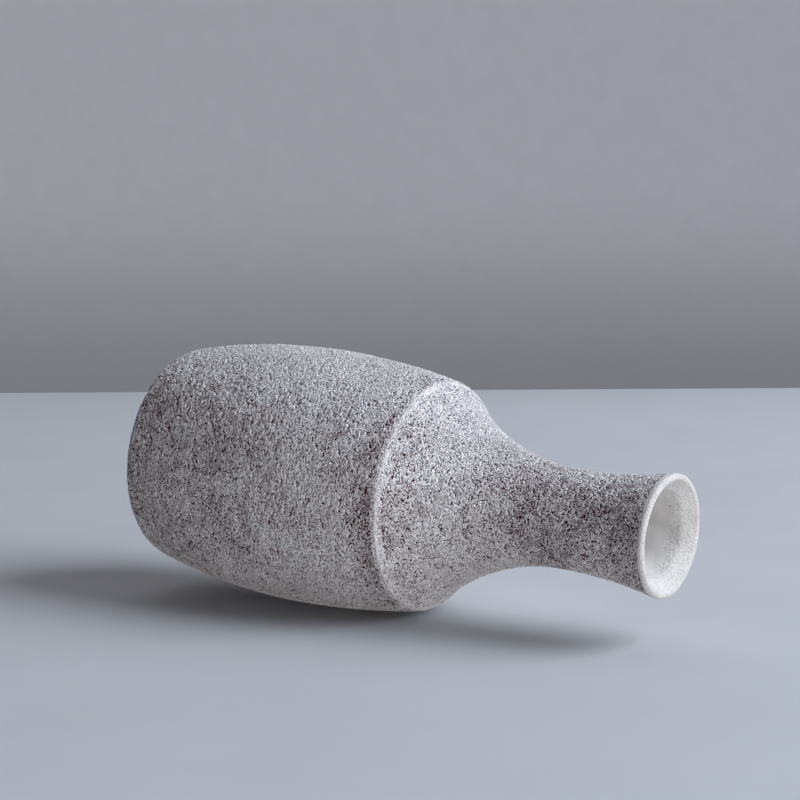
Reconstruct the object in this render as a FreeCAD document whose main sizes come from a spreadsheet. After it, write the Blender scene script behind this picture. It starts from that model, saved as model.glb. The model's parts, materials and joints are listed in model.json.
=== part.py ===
"""Bud vase: a wheel-thrown bottle form in two luted sections, with a crackled outer coat.

Millimetres, +Z up along the vase's own axis, origin at the centre of the foot where it stands.
Every piece is turned on the wheel, so every piece is one closed half-outline in its own sketch on
the XZ plane (sketch x is the radius, sketch y is the height) revolved about Z.  The outlines come
from four skins, the surfaces between outside, coat, clay and liner, which share their curves.
"""
import FreeCAD, Part
import math
import os

import Sketcher

SIZES = (
    # alias, value in mm, what it is
    ("barrel_height", 81.8, "table to the ridge where barrel and shoulder meet"),
    ("belly_height", 43.3, "table to the widest part of the barrel"),
    ("shoulder_length", 40.4, "ridge up to the waist of the neck"),
    ("flare_length", 26.8, "waist of the neck up to the centre of the lip's rounding"),
    ("ridge_radius", 30.0, "outside, at the ridge"),
    ("belly_swell", 3.9, "how far the belly stands out past the ridge"),
    ("foot_taper", 5.7, "how far the side draws in from the belly down to the table"),
    ("waist_radius", 12.7, "outside, at the waist of the neck"),
    ("mouth_flare", 3.0, "how far the mouth stands out past the waist"),
    ("foot_round", 3.6, "rounding between the side and the underside"),
    ("foot_ring", 6.0, "width of the flat ring that the vase stands on"),
    ("foot_recess", 1.2, "how far the middle of the underside is turned away"),
    ("recess_slope", 1.5, "width of the slope from the ring into the recess"),
    ("floor_thick", 5.0, "clay floor, from the table"),
    ("floor_round", 9.0, "rounding between floor and wall inside"),
    ("barrel_wall", 3.4, "clay wall of the barrel"),
    ("neck_wall", 2.7, "clay wall at the waist of the neck"),
    ("lip_wall", 3.25, "clay wall at the mouth, below the bevel"),
    ("lip_round", 1.0, "rounding of the lip's outer edge, glaze included"),
    ("lip_bevel", 2.2, "how far the bevel inside the mouth runs down, from that rounding's centre"),
    ("slip_thick", 0.5, "luting slip between the two thrown sections"),
    ("coat_thick", 0.6, "crackled outer coat"),
    ("liner_thick", 0.35, "glaze inside"),
    ("coat_stop", 0.8, "bare clay left between the table and the coat"),
    ("lip_drop", 0.5, "how far the lip glaze runs down outside, from the rounding's centre"),
    ("lip_inside", 3.0, "how far the lip glaze runs down inside, from the rounding's centre"),
)

# Heights that several pieces share, and insets of the skins, as expressions of the sheet's cells.
BELLY = "Sizes.belly_height"
RIDGE = "Sizes.barrel_height"
WAIST = "(Sizes.barrel_height + Sizes.shoulder_length)"
MOUTH = f"({WAIST} + Sizes.flare_length)"
BELOW_SLIP = f"({RIDGE} - Sizes.slip_thick / 2)"
ABOVE_SLIP = f"({RIDGE} + Sizes.slip_thick / 2)"
COAT_END = f"({MOUTH} - Sizes.lip_drop)"
BEVEL_END = f"({MOUTH} - Sizes.lip_bevel)"
LINER_END = f"({MOUTH} - Sizes.lip_inside)"
BEVEL_TURN = 135


def make_sheet(doc):
    """Put the driving sizes into a spreadsheet, each with its alias and a note."""
    sheet = doc.addObject("Spreadsheet::Sheet", "Sizes")
    for row, (alias, value, note) in enumerate(SIZES, start=1):
        sheet.set(f"A{row}", alias)
        sheet.set(f"B{row}", str(value))
        sheet.set(f"C{row}", note)
        sheet.setAlias(f"B{row}", alias)
    doc.recompute()


class Skin:
    """One surface of the wall, set in from the vase's outside by three insets along the radius.

    Each stretch is one arc.  The two barrel arcs stand upright at the belly, and the shoulder and
    flare arcs stand upright at the waist, so an arc's centre lies level with the belly or the waist
    and its radius follows from how far it runs and how far it moves sideways.
    """

    def __init__(self, barrel, waist, mouth):
        self.belly_r = f"(Sizes.ridge_radius + Sizes.belly_swell - ({barrel}))"
        self.ridge_r = f"(Sizes.ridge_radius - ({barrel}))"
        self.waist_r = f"(Sizes.waist_radius - ({waist}))"
        self.mouth_r = f"(Sizes.waist_radius + Sizes.mouth_flare - ({mouth}))"
        self.lower_bend = self._bend(BELLY, "Sizes.foot_taper")
        self.upper_bend = self._bend(f"({RIDGE} - {BELLY})", "Sizes.belly_swell")
        self.shoulder_bend = self._bend("Sizes.shoulder_length", f"({self.ridge_r} - {self.waist_r})")
        self.flare_bend = self._bend("Sizes.flare_length", f"({self.mouth_r} - {self.waist_r})")

    @staticmethod
    def _bend(run, sideways):
        """Radius of an arc that leaves upright and moves sideways over a run along the axis."""
        return f"(({run}^2 + {sideways}^2) / (2 * {sideways}))"

    @staticmethod
    def _sagitta(bend, run):
        """How far an arc that stands upright has moved sideways after a run along the axis."""
        return f"({bend} - sqrt({bend}^2 - {run}^2))"

    def upper_r(self, height):
        """Radius of the skin at a height between belly and ridge."""
        return f"({self.belly_r} - {self._sagitta(self.upper_bend, f'({height} - {BELLY})')})"

    def shoulder_r(self, height):
        """Radius of the skin at a height between ridge and waist."""
        return f"({self.waist_r} + {self._sagitta(self.shoulder_bend, f'({WAIST} - {height})')})"

    def flare_r(self, height):
        """Radius of the skin at a height between waist and mouth."""
        return f"({self.waist_r} + {self._sagitta(self.flare_bend, f'({height} - {WAIST})')})"

    def corner(self, flat, rounding):
        """Rounding between a flat at a height and the lower arc: its centre's radius, its end point.

        The rounding lies inside the lower arc and touches it, so their centres are the difference of
        their radii apart, and the end point is where the line through both centres meets the arc.
        """
        apart = f"({self.lower_bend} - {rounding})"
        below_belly = f"({BELLY} - {flat} - {rounding})"
        inward = f"sqrt({apart}^2 - {below_belly}^2)"
        centre_r = f"({self.belly_r} - {self.lower_bend} + {inward})"
        end_r = f"({self.belly_r} - {self.lower_bend} + {inward} * {self.lower_bend} / {apart})"
        end_z = f"({BELLY} - {below_belly} * {self.lower_bend} / {apart})"
        return centre_r, (end_r, end_z)


OUTSIDE = Skin("0", "0", "0")
CLAY_OUT = Skin("Sizes.coat_thick", "Sizes.coat_thick", "Sizes.coat_thick")
CLAY_IN = Skin(
    "Sizes.coat_thick + Sizes.barrel_wall",
    "Sizes.coat_thick + Sizes.neck_wall",
    "Sizes.coat_thick + Sizes.lip_wall",
)
GLAZE_IN = Skin(
    "Sizes.coat_thick + Sizes.barrel_wall + Sizes.liner_thick",
    "Sizes.coat_thick + Sizes.neck_wall + Sizes.liner_thick",
    "Sizes.coat_thick + Sizes.lip_wall + Sizes.liner_thick",
)


def lip_top(rounding):
    """Where a rounding of the lip's outer edge, begun level with its centre, meets the bevel."""
    centre_r = f"({OUTSIDE.mouth_r} - Sizes.lip_round)"
    return f"({centre_r} + {rounding} * cos({BEVEL_TURN}))", f"({MOUTH} + {rounding} * sin({BEVEL_TURN}))"


def measure(doc, expression):
    """Value of an expression of the sheet's cells, in millimetres."""
    value = doc.Sizes.evalExpression(expression)
    return float(getattr(value, "Value", value))


def hold(sketch, kind, edge, point, expression, value):
    """Tie one coordinate of a sketch point to an expression; a zero lies on the axis itself."""
    if expression == "0":
        axis = -2 if kind == "DistanceX" else -1
        sketch.addConstraint(Sketcher.Constraint("PointOnObject", edge, point, axis))
        return
    index = sketch.addConstraint(Sketcher.Constraint(kind, -1, 1, edge, point, value))
    sketch.setExpression(f"Constraints[{index}]", expression)


def add_arc(sketch, begin, end, level):
    """Draw the arc from begin to end whose centre lies at a height; give its edge and its two ends.

    It is the shorter way round, and a half circle is the one that swells out or over the top.
    """
    across = 2 * (begin[0] - end[0])
    rise = (begin[1] - level) ** 2 - (end[1] - level) ** 2
    centre = (begin[0] ** 2 - end[0] ** 2 + rise) / across, level
    first = math.atan2(begin[1] - level, begin[0] - centre[0])
    last = math.atan2(end[1] - level, end[0] - centre[0])
    turn = math.remainder(last - first, math.tau)
    half_circle = math.isclose(abs(turn), math.pi, abs_tol=1e-6)
    forward = begin[0] > end[0] if half_circle else turn > 0
    circle = Part.Circle(FreeCAD.Vector(*centre, 0), FreeCAD.Vector(0, 0, 1), math.dist(centre, end))
    span = (first, last) if forward else (last, first)
    edge = sketch.addGeometry(Part.ArcOfCircle(circle, *span), False)
    return (edge, 1, 2) if forward else (edge, 2, 1)


def add_line(sketch, begin, end):
    """Draw the straight edge from begin to end; give its edge and its two ends."""
    ends = FreeCAD.Vector(*begin, 0), FreeCAD.Vector(*end, 0)
    return sketch.addGeometry(Part.LineSegment(*ends), False), 1, 2


def turned_piece(doc, label, corners):
    """Revolve a closed outline into a piece in a body of its own.

    Each corner is (radius, height), reached from the corner before it by a straight edge, or
    (radius, height, level), reached by an arc whose centre lies at that level.  All of them are
    expressions.  The first corner closes the outline, so its edge comes from the last one.
    """
    body = doc.addObject("PartDesign::Body", label)
    body.Label = label
    plane = next(f for f in body.Origin.OriginFeatures if f.Role == "XZ_Plane")
    sketch = body.newObject("Sketcher::SketchObject", label + "_outline")
    sketch.AttachmentSupport = [(plane, "")]
    sketch.MapMode = "FlatFace"

    drawn = []
    for before, corner in zip(corners, corners[1:] + corners[:1]):
        begin = measure(doc, before[0]), measure(doc, before[1])
        end = measure(doc, corner[0]), measure(doc, corner[1])
        if len(corner) == 3:
            level = measure(doc, corner[2])
            edge, first, last = add_arc(sketch, begin, end, level)
            hold(sketch, "DistanceY", edge, 3, corner[2], level)
        else:
            edge, first, last = add_line(sketch, begin, end)
        hold(sketch, "DistanceX", edge, last, corner[0], end[0])
        hold(sketch, "DistanceY", edge, last, corner[1], end[1])
        drawn.append((edge, first, last))
    for (edge, _, last), (after, first, _) in zip(drawn, drawn[1:] + drawn[:1]):
        sketch.addConstraint(Sketcher.Constraint("Coincident", edge, last, after, first))

    turning = body.newObject("PartDesign::Revolution", label + "_turned")
    turning.Profile = sketch
    turning.ReferenceAxis = (sketch, ["V_Axis"])
    turning.Angle = 360
    sketch.Visibility = False
    return body


def make_barrel(doc):
    """Thrown clay barrel with its floor, open at the top, turned underneath to a ring foot."""
    foot_level = "Sizes.foot_round"
    floor_level = "(Sizes.floor_thick + Sizes.floor_round)"
    floor_edge, floor_end = CLAY_IN.corner("Sizes.floor_thick", "Sizes.floor_round")
    foot_edge, foot_end = CLAY_OUT.corner("0", "Sizes.foot_round")
    ring_edge = f"({foot_edge} - Sizes.foot_ring)"
    return turned_piece(doc, "barrel", [
        ("0", "Sizes.floor_thick"),
        (floor_edge, "Sizes.floor_thick"),
        (*floor_end, floor_level),
        (CLAY_IN.belly_r, BELLY, BELLY),
        (CLAY_IN.upper_r(BELOW_SLIP), BELOW_SLIP, BELLY),
        (CLAY_OUT.upper_r(BELOW_SLIP), BELOW_SLIP),
        (CLAY_OUT.belly_r, BELLY, BELLY),
        (*foot_end, BELLY),
        (foot_edge, "0", foot_level),
        (ring_edge, "0"),
        (f"({ring_edge} - Sizes.recess_slope)", "Sizes.foot_recess"),
        ("0", "Sizes.foot_recess"),
    ])


def make_neck(doc):
    """Thrown clay shoulder and neck, from the ridge to the lip, which is bevelled inside."""
    return turned_piece(doc, "shoulder_and_neck", [
        (CLAY_OUT.shoulder_r(ABOVE_SLIP), ABOVE_SLIP),
        (CLAY_OUT.waist_r, WAIST, WAIST),
        (CLAY_OUT.mouth_r, MOUTH, WAIST),
        (*lip_top("(Sizes.lip_round - Sizes.coat_thick)"), MOUTH),
        (CLAY_IN.flare_r(BEVEL_END), BEVEL_END),
        (CLAY_IN.waist_r, WAIST, WAIST),
        (CLAY_IN.shoulder_r(ABOVE_SLIP), ABOVE_SLIP, WAIST),
    ])


def make_slip_joint(doc):
    """Ring of luting slip between the two sections, squeezed out into a soft bead on the ridge."""
    return turned_piece(doc, "slip_joint", [
        (CLAY_IN.upper_r(BELOW_SLIP), BELOW_SLIP, BELLY),
        (OUTSIDE.upper_r(BELOW_SLIP), BELOW_SLIP),
        (OUTSIDE.shoulder_r(ABOVE_SLIP), ABOVE_SLIP, RIDGE),
        (CLAY_IN.shoulder_r(ABOVE_SLIP), ABOVE_SLIP),
        (CLAY_IN.ridge_r, RIDGE, WAIST),
    ])


def make_barrel_coat(doc):
    """Crackled coat over the barrel, from just above the table to the slip joint."""
    level = "Sizes.foot_round"
    outer_edge, outer_end = OUTSIDE.corner("0", level)
    inner_edge, inner_end = CLAY_OUT.corner("0", level)
    at_stop = f"sqrt({level}^2 - ({level} - Sizes.coat_stop)^2)"
    return turned_piece(doc, "barrel_coat", [
        (f"({outer_edge} + {at_stop})", "Sizes.coat_stop"),
        (*outer_end, level),
        (OUTSIDE.belly_r, BELLY, BELLY),
        (OUTSIDE.upper_r(BELOW_SLIP), BELOW_SLIP, BELLY),
        (CLAY_OUT.upper_r(BELOW_SLIP), BELOW_SLIP),
        (CLAY_OUT.belly_r, BELLY, BELLY),
        (*inner_end, BELLY),
        (f"({inner_edge} + {at_stop})", "Sizes.coat_stop", level),
    ])


def make_neck_coat(doc):
    """Crackled coat over shoulder and neck, from the slip joint to the lip glaze."""
    return turned_piece(doc, "shoulder_coat", [
        (OUTSIDE.shoulder_r(ABOVE_SLIP), ABOVE_SLIP),
        (OUTSIDE.waist_r, WAIST, WAIST),
        (OUTSIDE.flare_r(COAT_END), COAT_END, WAIST),
        (CLAY_OUT.flare_r(COAT_END), COAT_END),
        (CLAY_OUT.waist_r, WAIST, WAIST),
        (CLAY_OUT.shoulder_r(ABOVE_SLIP), ABOVE_SLIP, WAIST),
    ])


def make_liner(doc):
    """Liner glaze over the floor and the whole inside, up to the lip glaze."""
    level = "(Sizes.floor_thick + Sizes.floor_round)"
    top = "(Sizes.floor_thick + Sizes.liner_thick)"
    clay_edge, clay_end = CLAY_IN.corner("Sizes.floor_thick", "Sizes.floor_round")
    glaze_edge, glaze_end = GLAZE_IN.corner(top, "(Sizes.floor_round - Sizes.liner_thick)")
    return turned_piece(doc, "liner_glaze", [
        ("0", "Sizes.floor_thick"),
        (clay_edge, "Sizes.floor_thick"),
        (*clay_end, level),
        (CLAY_IN.belly_r, BELLY, BELLY),
        (CLAY_IN.ridge_r, RIDGE, BELLY),
        (CLAY_IN.waist_r, WAIST, WAIST),
        (CLAY_IN.flare_r(LINER_END), LINER_END, WAIST),
        (GLAZE_IN.flare_r(LINER_END), LINER_END),
        (GLAZE_IN.waist_r, WAIST, WAIST),
        (GLAZE_IN.ridge_r, RIDGE, WAIST),
        (GLAZE_IN.belly_r, BELLY, BELLY),
        (*glaze_end, BELLY),
        (glaze_edge, top, level),
        ("0", top),
    ])


def make_lip_glaze(doc):
    """Smooth glaze rolled over the lip, from the coat's end outside to the liner's end inside."""
    return turned_piece(doc, "lip_glaze", [
        (CLAY_OUT.flare_r(COAT_END), COAT_END, WAIST),
        (OUTSIDE.flare_r(COAT_END), COAT_END),
        (OUTSIDE.mouth_r, MOUTH, WAIST),
        (*lip_top("Sizes.lip_round"), MOUTH),
        (GLAZE_IN.flare_r(BEVEL_END), BEVEL_END),
        (GLAZE_IN.flare_r(LINER_END), LINER_END, WAIST),
        (CLAY_IN.flare_r(LINER_END), LINER_END),
        (CLAY_IN.flare_r(BEVEL_END), BEVEL_END, WAIST),
        lip_top("(Sizes.lip_round - Sizes.coat_thick)"),
        (CLAY_OUT.mouth_r, MOUTH, MOUTH),
    ])


MAKERS = (
    make_barrel,
    make_neck,
    make_slip_joint,
    make_barrel_coat,
    make_neck_coat,
    make_liner,
    make_lip_glaze,
)


def check_document(doc):
    """Stop if any object failed to build."""
    for item in doc.Objects:
        if "Invalid" in item.State or "Error" in item.State:
            raise RuntimeError(f"{item.Label} failed: {item.State}")


def check_piece(body):
    """Stop unless a piece is one sound solid."""
    shape = body.Shape
    if shape.isNull() or not shape.isValid() or len(shape.Solids) != 1:
        raise RuntimeError(f"{body.Label} is not one valid solid")


def main():
    """Build the document, check it and write each piece to its own file."""
    doc = FreeCAD.newDocument("bud_vase")
    make_sheet(doc)
    bodies = [maker(doc) for maker in MAKERS]
    doc.recompute()
    check_document(doc)
    for body in bodies:
        check_piece(body)
    os.makedirs("parts", exist_ok=True)
    for body in bodies:
        body.Shape.exportStep(f"parts/{body.Label}.step")
        box = body.Shape.optimalBoundingBox(False)
        print(f"{body.Label}: {body.Shape.Volume:.1f} mm3, z {box.ZMin:.2f} to {box.ZMax:.2f}, r {box.XMax:.2f}")


main()
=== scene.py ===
"""Bud vase, thrown in red-brown stoneware under a granular, crackled coat of white slip.

Lengths are metres in Blender and millimetres in the classes below.  +Z runs up the vase's own axis
and the origin lies under the centre of its foot.  The vase keeps that frame, and the table, the
lights and the camera are laid round it as if it lay on its side on a table.
"""
import json
import logging
import math
from dataclasses import dataclass, field
from enum import Enum
from typing import Any, Callable

import bmesh
import bpy
import numpy as np
from mathutils import Matrix, Vector

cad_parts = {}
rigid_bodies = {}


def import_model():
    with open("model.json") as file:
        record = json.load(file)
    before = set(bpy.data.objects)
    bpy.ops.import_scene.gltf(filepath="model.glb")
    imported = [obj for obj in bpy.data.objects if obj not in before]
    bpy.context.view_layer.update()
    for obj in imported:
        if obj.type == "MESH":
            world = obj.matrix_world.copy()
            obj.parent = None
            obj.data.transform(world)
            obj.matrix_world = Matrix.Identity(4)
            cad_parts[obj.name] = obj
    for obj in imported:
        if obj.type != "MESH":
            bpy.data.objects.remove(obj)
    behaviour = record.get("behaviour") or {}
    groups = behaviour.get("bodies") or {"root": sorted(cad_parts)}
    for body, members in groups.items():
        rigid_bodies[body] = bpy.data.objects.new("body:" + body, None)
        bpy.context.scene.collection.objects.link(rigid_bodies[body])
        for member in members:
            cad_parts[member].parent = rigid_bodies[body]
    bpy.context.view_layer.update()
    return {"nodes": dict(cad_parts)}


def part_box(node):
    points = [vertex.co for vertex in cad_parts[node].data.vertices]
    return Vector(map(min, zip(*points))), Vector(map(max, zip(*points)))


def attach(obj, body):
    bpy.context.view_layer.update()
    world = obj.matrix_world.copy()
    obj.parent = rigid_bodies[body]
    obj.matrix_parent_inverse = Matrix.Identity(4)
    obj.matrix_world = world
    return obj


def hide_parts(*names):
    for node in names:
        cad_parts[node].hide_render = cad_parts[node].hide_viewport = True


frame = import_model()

MM = 0.001
BODY = "root"
PLACE = "place"
RELIEF = "relief"
SHARP_CORNER = 50.0
# The waves of a hand's unevenness add up to about this much, and are brought back to 1.
EVENED = 2.2

# Own properties of a range that eases in and out, and of a mix of colours.
SMOOTH = {"interpolation_type": "SMOOTHSTEP"}
COLOUR = {"data_type": "RGBA"}

Array = np.ndarray
Reshape = Callable[[Array, Array, Array], tuple[Array, Array]]
Feeds = list[Any] | dict[Any, Any]
log = logging.getLogger("bud_vase")


class Slot(Enum):
    """The record's material slots."""

    STONEWARE = "red_brown_stoneware"
    SLIP = "white_slip"
    COAT = "crackle_coat"
    GLAZE = "white_glaze"


class Kind(Enum):
    """The kinds of node that patterns and finishes are laid out with."""

    MATH = "ShaderNodeMath"
    VECTOR = "ShaderNodeVectorMath"
    SPLIT = "ShaderNodeSeparateXYZ"
    RANGE = "ShaderNodeMapRange"
    MIX = "ShaderNodeMix"
    NOISE = "ShaderNodeTexNoise"
    CELLS = "ShaderNodeTexVoronoi"
    ATTRIBUTE = "ShaderNodeAttribute"
    COORDINATES = "ShaderNodeTexCoord"
    SIDES = "ShaderNodeNewGeometry"
    BUMP = "ShaderNodeBump"
    SURFACE = "ShaderNodeBsdfPrincipled"
    CLEAR = "ShaderNodeBsdfTransparent"
    EITHER = "ShaderNodeMixShader"
    MATERIAL = "ShaderNodeOutputMaterial"
    MESH_IN = "NodeGroupInput"
    MESH_OUT = "NodeGroupOutput"
    POSITION = "GeometryNodeInputPosition"
    NORMAL = "GeometryNodeInputNormal"
    STORE = "GeometryNodeStoreNamedAttribute"
    STORED = "GeometryNodeInputNamedAttribute"
    MOVE = "GeometryNodeSetPosition"


def linear(hex_colour: str) -> tuple[float, float, float, float]:
    """Turn an sRGB colour into the linear values that a shader takes.

    Args:
        hex_colour: the colour as "#rrggbb".

    Returns:
        Linear red, green and blue, and an alpha of 1.
    """
    shares = [int(hex_colour[i : i + 2], 16) / 255 for i in (1, 3, 5)]
    light = [s / 12.92 if s <= 0.04045 else ((s + 0.055) / 1.055) ** 2.4 for s in shares]
    return light[0], light[1], light[2], 1.0


def add_node(tree: Any, kind: Kind, feeds: Feeds, output: int | str | None = 0, **settings: Any) -> Any:
    """Add a node to a shader or geometry tree.

    Args:
        tree: the node tree.
        kind: what the node does.
        feeds: a value or an output socket for each input, in order or by the input's name or
            number.
        output: name or number of the output that is wanted, or None at the end of a tree.
        **settings: values of the node's own properties.

    Returns:
        The output's socket, or None.
    """
    node = tree.nodes.new(kind.value)
    for name, value in settings.items():
        setattr(node, name, value)
    for key, feed in feeds.items() if isinstance(feeds, dict) else enumerate(feeds):
        if isinstance(feed, bpy.types.NodeSocket):
            tree.links.new(feed, node.inputs[key])
        else:
            node.inputs[key].default_value = feed
    return None if output is None else node.outputs[output]


# ---------------------------------------------------------------------------------------------
# Shape


def sagitta(run: float, sideways: float, at: Array) -> Array:
    """How far an arc that starts upright has moved sideways.

    Args:
        run: the arc's whole run along the axis.
        sideways: how far it moves sideways over that run.
        at: distances along the axis from its start.

    Returns:
        The sideways distance at each of them.
    """
    bend = (run**2 + sideways**2) / (2 * sideways)
    return bend - np.sqrt(np.maximum(bend**2 - np.asarray(at) ** 2, 0.0))


@dataclass(frozen=True)
class Form:
    """The vase's turned outline and its layers, in millimetres.

    The barrel's two arcs stand upright at the belly and the arcs of shoulder and flare stand
    upright at the waist, so each follows from its run and how far it moves sideways.
    """

    belly_radius: float
    ridge_height: float
    mouth_radius: float
    lip_top: float
    coat_stop: float
    belly_height: float = 43.3
    ridge_radius: float = 30.0
    foot_taper: float = 5.7
    foot_round: float = 3.6
    waist_radius: float = 12.7
    waist_height: float = 122.2
    lip_round: float = 1.0
    lip_bevel: float = 2.2
    lip_waver: float = 0.3
    floor: float = 5.0
    floor_round: float = 9.0
    coat: float = 0.6
    barrel_wall: float = 3.4
    neck_wall: float = 2.7
    lip_wall: float = 3.25
    liner: float = 0.35

    @classmethod
    def of_frame(cls) -> "Form":
        """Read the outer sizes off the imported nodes.

        Returns:
            The outline, with its usual sizes where the nodes don't show them.
        """
        coat_low, coat_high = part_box("barrel_coat")
        slip_low, slip_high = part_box("slip_joint")
        lip_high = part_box("lip_glaze")[1]
        return cls(
            belly_radius=coat_high.x / MM,
            ridge_height=(slip_low.z + slip_high.z) / 2 / MM,
            mouth_radius=lip_high.x / MM,
            lip_top=lip_high.z / MM,
            coat_stop=coat_low.z / MM,
        )

    @property
    def mouth_height(self) -> float:
        """Height of the centre of the lip's rounding."""
        return self.lip_top - self.lip_round

    @property
    def upper_bend(self) -> float:
        """Radius of the arc from belly to ridge.

        Returns:
            The radius in millimetres.
        """
        run = self.ridge_height - self.belly_height
        sideways = self.belly_radius - self.ridge_radius
        return (run**2 + sideways**2) / (2 * sideways)


@dataclass(frozen=True)
class Skin:
    """One surface through the wall, set in from the outside by three insets along the radius."""

    form: Form
    barrel: float = 0.0
    waist: float = 0.0
    mouth: float = 0.0

    def radius(self, height: Array) -> Array:
        """Radius of the skin.

        Args:
            height: heights between the foot's rounding and the lip's centre.

        Returns:
            The radius at each of them.
        """
        f, z = self.form, np.asarray(height, float)
        belly_r = f.belly_radius - self.barrel
        ridge_r = f.ridge_radius - self.barrel
        waist_r = f.waist_radius - self.waist
        mouth_r = f.mouth_radius - self.mouth
        swell = f.belly_radius - f.ridge_radius
        upper_run = f.ridge_height - f.belly_height
        shoulder_run = f.waist_height - f.ridge_height
        flare_run = f.mouth_height - f.waist_height
        lower = belly_r - sagitta(f.belly_height, f.foot_taper, f.belly_height - z)
        upper = belly_r - sagitta(upper_run, swell, z - f.belly_height)
        shoulder = waist_r + sagitta(shoulder_run, ridge_r - waist_r, f.waist_height - z)
        flare = waist_r + sagitta(flare_run, mouth_r - waist_r, z - f.waist_height)
        stretches = [z < f.belly_height, z < f.ridge_height, z < f.waist_height]
        return np.select(stretches, [lower, upper, shoulder], flare)

    def rounding(self, flat: float, radius: float) -> tuple[float, float, float]:
        """Rounding between a flat and the lower arc, which it touches from inside.

        Args:
            flat: height of the flat.
            radius: the rounding's radius.

        Returns:
            Radius of its centre, and radius and height of the point where it meets the arc.
        """
        f = self.form
        bend = (f.belly_height**2 + f.foot_taper**2) / (2 * f.foot_taper)
        apart, below = bend - radius, f.belly_height - flat - radius
        inward = math.sqrt(apart**2 - below**2)
        start = f.belly_radius - self.barrel - bend
        return start + inward, start + inward * bend / apart, f.belly_height - below * bend / apart

    def footed(self, height: Array) -> Array:
        """Radius of the skin, foot rounding included.

        Args:
            height: heights above the foot.

        Returns:
            The radius at each of them.
        """
        f, z = self.form, np.asarray(height, float)
        centre, _, end = self.rounding(0.0, f.foot_round)
        drop = np.clip(f.foot_round - z, 0.0, f.foot_round)
        return np.where(z < end, centre + np.sqrt(f.foot_round**2 - drop**2), self.radius(z))


def steps(low: float, high: float, spacing: float) -> Array:
    """Even steps from one value to another, no further apart than the spacing."""
    return np.linspace(low, high, max(2, math.ceil(abs(high - low) / spacing) + 1))


def joined(*stretches: Array) -> Array:
    """Put the stretches of an outline end to end and leave out the points that they share.

    Args:
        *stretches: radius and height of each point of each stretch.

    Returns:
        The whole outline.
    """
    points = np.concatenate(stretches)
    apart = np.linalg.norm(np.diff(points[:, :2], axis=0), axis=1) > 1e-6
    return points[np.concatenate([[True], apart])]


def arc(centre: tuple[float, float], radius: float, first: float, last: float, pieces: int) -> Array:
    """Points of an arc in the outline's plane.

    Args:
        centre: its centre's radius and height.
        radius: its radius.
        first: angle of its first point from the outward direction, in degrees.
        last: angle of its last point.
        pieces: how many straight pieces it is drawn in.

    Returns:
        The radius and height of each point.
    """
    turn = np.radians(np.linspace(first, last, pieces + 1))
    return np.stack([centre[0] + radius * np.cos(turn), centre[1] + radius * np.sin(turn)], axis=1)


def level(radii: Array, height: float) -> Array:
    """Outline points on a level stretch."""
    return np.stack([radii, np.full_like(radii, height)], axis=1)


def on_skin(skin: Skin, levels: Array, footed: bool = False) -> Array:
    """Outline points on a skin.

    Args:
        skin: the skin.
        levels: their heights.
        footed: whether the foot rounding counts.

    Returns:
        The radius and height of each point.
    """
    return np.stack([skin.footed(levels) if footed else skin.radius(levels), levels], axis=1)


def turned_mesh(
    name: str, outline: Array, relief: Array, segments: int, reshape: Reshape | None = None
) -> Any:
    """Turn a closed outline round the axis into a closed mesh object.

    Args:
        name: the object's name.
        outline: radius and height of each point, in millimetres.  An outline that starts and ends
            on the axis closes there, and any other closes on its own first point.
        relief: how much of the surface relief each point takes, from 0 to 1.
        segments: how many points each ring has.
        reshape: moves the points of the rings, given their azimuth, radius and height.

    Returns:
        The object, with the relief share stored on its points.
    """
    turn = np.linspace(0.0, math.tau, segments, endpoint=False)
    azimuth = np.broadcast_to(turn, (len(outline), segments))
    radius = np.repeat(outline[:, :1], segments, axis=1)
    height = np.repeat(outline[:, 1:2], segments, axis=1)
    if reshape:
        radius, height = reshape(azimuth, radius, height)
    on_axis = outline[0, 0] < 1e-6 and outline[-1, 0] < 1e-6
    rings = slice(1, -1) if on_axis else slice(None)
    points = np.stack([radius * np.cos(azimuth), radius * np.sin(azimuth), height], axis=2)[rings]
    count = len(points)
    places = points.reshape(-1, 3)
    shares = np.repeat(relief[rings], segments)
    if on_axis:
        ends = np.array([[0.0, 0.0, outline[0, 1]], [0.0, 0.0, outline[-1, 1]]])
        places = np.concatenate([places, ends])
        shares = np.concatenate([shares, relief[[0, -1]]])

    step = np.arange(segments)
    after = (step + 1) % segments
    faces: list[Any] = []
    for ring in range(count - 1 if on_axis else count):
        this, above = ring * segments, (ring + 1) % count * segments
        faces += np.stack([this + step, this + after, above + after, above + step], axis=1).tolist()
    if on_axis:
        first, last = count * segments, count * segments + 1
        top = (count - 1) * segments
        faces += np.stack([np.full(segments, first), after, step], axis=1).tolist()
        faces += np.stack([np.full(segments, last), top + step, top + after], axis=1).tolist()

    mesh = bpy.data.meshes.new(name)
    mesh.from_pydata((places * MM).tolist(), [], faces)
    raised = mesh.attributes.new(RELIEF, "FLOAT", "POINT")
    raised.data.foreach_set("value", shares.astype(np.float32))
    work = bmesh.new()
    work.from_mesh(mesh)
    bmesh.ops.recalc_face_normals(work, faces=work.faces)
    work.to_mesh(mesh)
    work.free()
    mesh.shade_smooth()
    mesh.set_sharp_from_angle(angle=math.radians(SHARP_CORNER))
    made = bpy.data.objects.new(name, mesh)
    bpy.context.scene.collection.objects.link(made)
    return made


def wander(azimuth: Array, seed: int, waves: int = 9) -> Array:
    """A hand's unevenness round the axis.

    Args:
        azimuth: angles round the axis.
        seed: which unevenness.
        waves: how many waves round it, each weaker than the one before.

    Returns:
        Values of about -1 to 1 that close on themselves after a full turn.
    """
    dice = np.random.default_rng(seed)
    total = np.zeros_like(azimuth)
    for wave in range(1, waves + 1):
        strength = dice.normal() / math.sqrt(wave)
        total = total + strength * np.cos(wave * azimuth + dice.uniform(0, math.tau))
    return total / EVENED


# ---------------------------------------------------------------------------------------------
# Relief and finishes


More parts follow.
